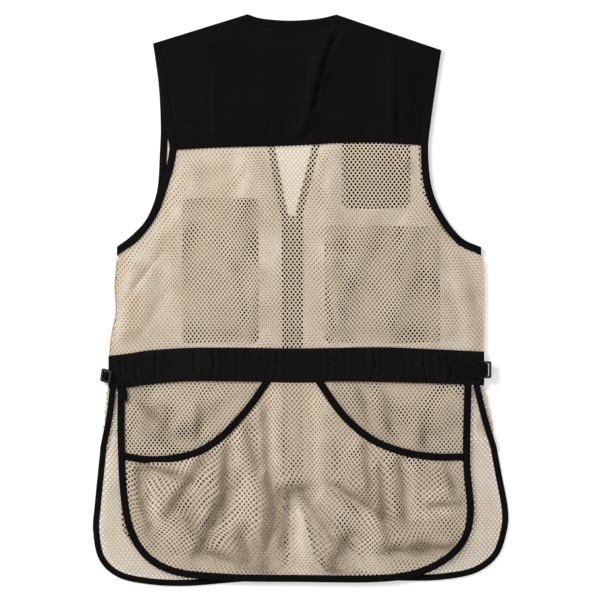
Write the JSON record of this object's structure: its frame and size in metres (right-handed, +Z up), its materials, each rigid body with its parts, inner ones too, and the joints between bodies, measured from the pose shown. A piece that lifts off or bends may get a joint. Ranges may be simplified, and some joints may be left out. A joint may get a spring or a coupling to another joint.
{
  "type": "shooting vest",
  "caption": "Sleeveless shooting vest of open net with a dark yoke, bound edges, waist belt with side adjusters and a rear shell pouch, zipped and lying flat with its back up",
  "frame": {"origin": "middle of the vest as seen from above, on the surface that it lies on", "axes": "+X to the right of the vest as seen with its back up, +Y from the hem to the neck, +Z up out of the surface through the back"},
  "size_m": [0.5606, 0.7716, 0.0188],
  "materials": {
    "net": "open hexagonal polyester net, tan",
    "black_cloth": "plain woven cotton, near black, matt",
    "binding": "folded ribbed tape, near black",
    "elastic": "gathered cloth belt and woven strap, near black",
    "zip": "woven zip tape, black",
    "plastic": "moulded plastic, dark grey"
  },
  "bodies": {
    "root": {"adjuster_strap_left": "elastic", "adjuster_strap_right": "elastic", "back_panel": "net", "back_yoke": "black_cloth", "belt": "elastic", "binding_armhole_back_left": "binding", "binding_armhole_back_right": "binding", "binding_armhole_front_left": "binding", "binding_armhole_front_right": "binding", "binding_front_left": "binding", "binding_front_right": "binding", "binding_hem_back": "binding", "binding_hem_front_left": "binding", "binding_hem_front_right": "binding", "binding_neck_back": "binding", "binding_pouch_left": "binding", "binding_pouch_right": "binding", "buckle_left": "plastic", "buckle_right": "plastic", "chest_pocket_left": "black_cloth", "chest_pocket_right": "black_cloth", "front_panel_left": "net", "front_panel_right": "net", "shell_pocket_left": "black_cloth", "shell_pocket_right": "black_cloth", "shell_pouch": "net", "shoulder_patch_right": "black_cloth", "zip": "zip", "zip_slider": "plastic"}
  },
  "joints": []
}
